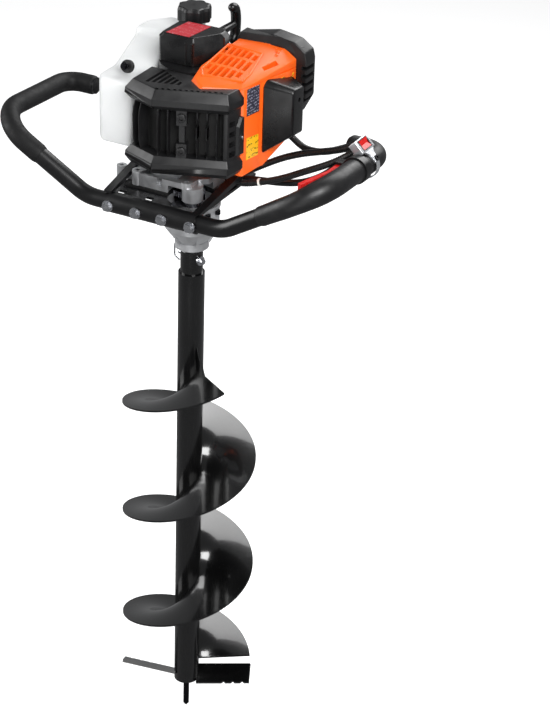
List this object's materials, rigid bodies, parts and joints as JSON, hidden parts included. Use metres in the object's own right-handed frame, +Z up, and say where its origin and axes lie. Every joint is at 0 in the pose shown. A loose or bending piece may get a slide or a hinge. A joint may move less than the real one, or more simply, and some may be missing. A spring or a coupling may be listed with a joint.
{
  "type": "powered ice and earth auger",
  "caption": "Two-man-frame powered auger: two-stroke engine and reduction gearbox on a U-shaped handle frame, turning a spiral bit with cutting blades and a pilot drill.",
  "frame": {"origin": "the tip of the pilot drill, on the drilling axis", "axes": "+Z up the drilling axis, +X along the front bar towards the throttle grip, -Y towards the operator"},
  "size_m": [0.5509, 0.282, 1.1193],
  "materials": {
    "frame_black_enamel": "satin black enamel",
    "bit_black_enamel": "gloss black enamel",
    "pilot_steel": "dark steel",
    "zinc_steel": "bright zinc",
    "black_screws": "black oxide",
    "machined_steel": "machined",
    "silver_casting": "shot-blasted die casting",
    "grey_casting": "as cast",
    "seal_rubber": "matt",
    "friction_steel": "ground",
    "plug_ceramic": "glazed",
    "black_nylon": "moulded black nylon",
    "exhaust_steel": "plain",
    "orange_shell": "moulded orange",
    "tank_polythene": "translucent white",
    "grip_foam": "closed-cell foam",
    "grip_plastic": "fine grained",
    "lever_red": "red",
    "switch_grey": "silver grey",
    "conduit_black": "ribbed black"
  },
  "bodies": {
    "powerhead": {"front_sleeve": "frame_black_enamel", "handle_left": "frame_black_enamel", "handle_right": "frame_black_enamel", "base_plate": "frame_black_enamel", "side_rails": "frame_black_enamel", "lever_bracket": "frame_black_enamel", "frame_bolts": "zinc_steel", "gearcase_screws": "black_screws", "clamp_screw": "black_screws", "crankshaft": "machined_steel", "connecting_rod": "machined_steel", "gearcase_lower": "silver_casting", "gearcase_upper": "grey_casting", "clutch_housing": "grey_casting", "crankcase": "grey_casting", "cylinder": "grey_casting", "piston": "grey_casting", "flywheel": "grey_casting", "carburettor": "grey_casting", "damper_pad": "seal_rubber", "spark_plug": "plug_ceramic", "muffler_guard": "black_nylon", "plug_cover": "black_nylon", "rear_cover": "black_nylon", "starter_housing": "black_nylon", "fan_housing": "black_nylon", "muffler": "exhaust_steel", "engine_shroud": "orange_shell", "fuel_tank": "tank_polythene", "foam_grip": "grip_foam", "throttle_grip": "grip_plastic", "switch_housing": "switch_grey", "conduit_lower": "conduit_black", "conduit_middle": "conduit_black", "conduit_upper": "conduit_black", "conduit_rear": "conduit_black"},
    "auger": {"flight_1": "bit_black_enamel", "flight_2": "bit_black_enamel", "flight_3": "bit_black_enamel", "drive_tube": "bit_black_enamel", "collar": "bit_black_enamel", "flight_gussets": "bit_black_enamel", "cutting_blades": "bit_black_enamel", "pilot_drill": "pilot_steel", "clevis_pin": "zinc_steel", "r_clip": "zinc_steel", "output_shaft": "machined_steel", "output_gear": "machined_steel"},
    "idler_two": {"idler_two": "machined_steel"},
    "idler_one": {"idler_one": "machined_steel"},
    "clutch_drum": {"clutch_drum": "machined_steel"},
    "shoe_front": {"clutch_shoe_front": "friction_steel"},
    "shoe_back": {"clutch_shoe_back": "friction_steel"},
    "throttle_lever": {"throttle_lever": "lever_red"},
    "kill_switch": {"kill_switch": "lever_red"},
    "starter_handle": {"starter_handle": "black_nylon"},
    "recoil_pulley": {"recoil_pulley": "black_nylon"},
    "cap_insert": {"cap_insert": "black_nylon"},
    "fuel_cap": {"fuel_cap": "black_nylon"},
    "choke_lever": {"choke_lever": "black_nylon"}
  },
  "joints": [
    {"name": "auger_spin", "type": "hinge", "parent": "powerhead", "child": "auger", "pos_m": [0, 0, 0.8], "axis": [0, 0, 1], "continuous": true},
    {"name": "idler_two_spin", "type": "hinge", "parent": "powerhead", "child": "idler_two", "pos_m": [-0.02596, 0.03251, 0.88], "axis": [0, 0, 1], "continuous": true},
    {"name": "idler_one_spin", "type": "hinge", "parent": "powerhead", "child": "idler_one", "pos_m": [-0.03378, 0.06277, 0.895], "axis": [0, 0, 1], "continuous": true},
    {"name": "clutch_drum_spin", "type": "hinge", "parent": "powerhead", "child": "clutch_drum", "pos_m": [-0.05, 0.088, 0.93], "axis": [0, 0, 1], "continuous": true},
    {"name": "front_shoe_slide", "type": "slide", "parent": "powerhead", "child": "shoe_front", "axis": [0, -1, 0], "range_m": [0, 0.001], "stiffness_N_per_m": 4000},
    {"name": "back_shoe_slide", "type": "slide", "parent": "powerhead", "child": "shoe_back", "axis": [0, 1, 0], "range_m": [0, 0.001], "stiffness_N_per_m": 4000},
    {"name": "throttle_squeeze", "type": "hinge", "parent": "powerhead", "child": "throttle_lever", "pos_m": [0.2065, 0.046, 0.96517], "axis": [0, 0, -1], "range_deg": [0, 8], "stiffness_Nm_per_rad": 1.2, "springref_deg": -5.73},
    {"name": "kill_switch_rock", "type": "hinge", "parent": "powerhead", "child": "kill_switch", "pos_m": [0.22479, 0.0755, 0.99348], "axis": [0, 1, 0], "range_deg": [0, 11]},
    {"name": "starter_pull", "type": "slide", "parent": "powerhead", "child": "starter_handle", "axis": [0, 1, 0], "range_m": [0, 0.6], "stiffness_N_per_m": 8, "springref_m": -0.1},
    {"name": "recoil_pulley_spin", "type": "hinge", "parent": "powerhead", "child": "recoil_pulley", "pos_m": [-0.05, 0.088, 1.075], "axis": [0, 0, 1], "range_deg": [0, 1860]},
    {"name": "cap_lift", "type": "slide", "parent": "powerhead", "child": "cap_insert", "axis": [0, 0, 1], "range_m": [0, 0.008]},
    {"name": "cap_turn", "type": "hinge", "parent": "cap_insert", "child": "fuel_cap", "pos_m": [-0.087, 0.153, 1.095], "axis": [0, 0, 1], "range_deg": [0, 720]},
    {"name": "choke_turn", "type": "hinge", "parent": "powerhead", "child": "choke_lever", "pos_m": [-0.015, 0.16, 1.01], "axis": [1, 0, 0], "range_deg": [0, 60]}
  ],
  "couplings": [
    {"joint": "idler_two_spin", "follows": "auger_spin", "ratio": -3.3333},
    {"joint": "idler_one_spin", "follows": "auger_spin", "ratio": 10.556},
    {"joint": "clutch_drum_spin", "follows": "auger_spin", "ratio": -31.667},
    {"joint": "recoil_pulley_spin", "follows": "starter_pull", "rad_per_m": 54.054},
    {"joint": "cap_lift", "follows": "cap_turn", "m_per_rad": 0.00063662}
  ]
}
